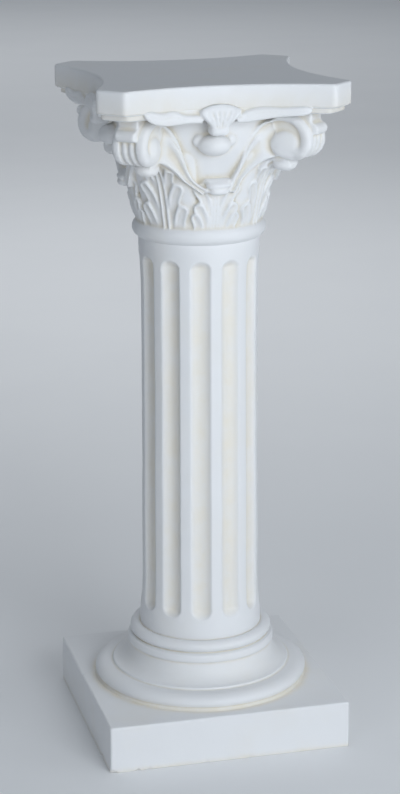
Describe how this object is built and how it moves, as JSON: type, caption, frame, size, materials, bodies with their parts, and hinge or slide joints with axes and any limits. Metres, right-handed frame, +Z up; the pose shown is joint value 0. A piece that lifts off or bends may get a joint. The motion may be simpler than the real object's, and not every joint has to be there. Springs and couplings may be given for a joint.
{
  "type": "pedestal column with leafy scroll capital",
  "caption": "White cast plaster display column with a square plinth, turned base, fluted shaft, leaf capital with corner scrolls and a flat hollow-sided top slab",
  "frame": {"origin": "middle of the plinth's underside", "axes": "+Z up along the shaft; -Y out of the front face of the plinth and slab; +X to the right seen from the front"},
  "size_m": [0.28, 0.28, 0.76],
  "materials": {
    "plaster": "cast plaster, matte, off-white, a little warmer in the hollows"
  },
  "bodies": {
    "root": {"column": "plaster"}
  },
  "joints": []
}
